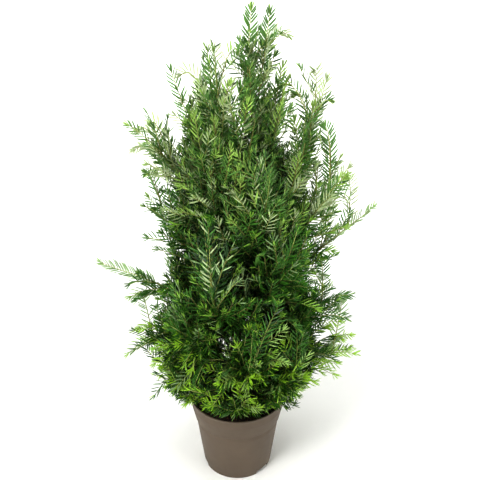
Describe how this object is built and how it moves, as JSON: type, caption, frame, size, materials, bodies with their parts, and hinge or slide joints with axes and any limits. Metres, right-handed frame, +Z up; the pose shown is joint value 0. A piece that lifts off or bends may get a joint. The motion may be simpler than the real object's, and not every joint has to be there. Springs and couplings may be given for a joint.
{
  "type": "potted yew shrub",
  "caption": "Young upright yew with arching needle sprays, growing in a round tapered nursery pot with a stepped collar.",
  "frame": {"origin": "centre of the pot's flat underside", "axes": "+Z up along the plant, -Y towards the viewer, +X to the viewer's right"},
  "size_m": [0.5972, 0.4008, 1.035],
  "materials": {
    "pot_plastic": "matte taupe polypropylene",
    "peat_soil": "rough dark peat and bark",
    "yew_bark": "thin brown bark",
    "yew_needles": "satin green needles"
  },
  "bodies": {
    "root": {"bough_body_02": "yew_bark", "bough_body_03": "yew_bark", "bough_body_04": "yew_bark", "bough_body_05": "yew_bark", "bough_body_06": "yew_bark", "bough_body_07": "yew_bark", "bough_body_08": "yew_bark", "bough_body_09": "yew_bark", "bough_body_10": "yew_bark", "bough_body_11": "yew_bark", "bough_left_arch": "yew_bark", "bough_left_shoulder": "yew_bark", "bough_long_left_shoot": "yew_bark", "bough_long_right_shoot": "yew_bark", "bough_lower_left_fan": "yew_bark", "bough_lower_left_skirt": "yew_bark", "bough_lower_right_fan": "yew_bark", "bough_lower_right_skirt": "yew_bark", "bough_right_fan": "yew_bark", "bough_right_plume": "yew_bark", "bough_right_shoulder": "yew_bark", "foliage_body_01": "yew_needles", "foliage_body_02": "yew_needles", "foliage_body_03": "yew_needles", "foliage_body_04": "yew_needles", "foliage_body_05": "yew_needles", "foliage_body_06": "yew_needles", "foliage_body_07": "yew_needles", "foliage_body_08": "yew_needles", "foliage_body_09": "yew_needles", "foliage_body_10": "yew_needles", "foliage_body_11": "yew_needles", "foliage_body_12": "yew_needles", "foliage_body_13": "yew_needles", "foliage_body_14": "yew_needles", "foliage_body_15": "yew_needles", "foliage_body_16": "yew_needles", "foliage_body_17": "yew_needles", "foliage_leader": "yew_needles", "foliage_left_arch": "yew_needles", "foliage_left_shoulder": "yew_needles", "foliage_long_left_shoot": "yew_needles", "foliage_long_right_shoot": "yew_needles", "foliage_lower_left_fan": "yew_needles", "foliage_lower_left_skirt": "yew_needles", "foliage_lower_right_fan": "yew_needles", "foliage_lower_right_skirt": "yew_needles", "foliage_right_fan": "yew_needles", "foliage_right_plume": "yew_needles", "foliage_right_shoulder": "yew_needles", "foliage_second_leader": "yew_needles", "foliage_upper_left_arch": "yew_needles", "foliage_upper_left_plume": "yew_needles", "foliage_upper_right_plume": "yew_needles", "pot": "pot_plastic", "soil": "peat_soil", "trunk": "yew_bark"}
  },
  "joints": []
}
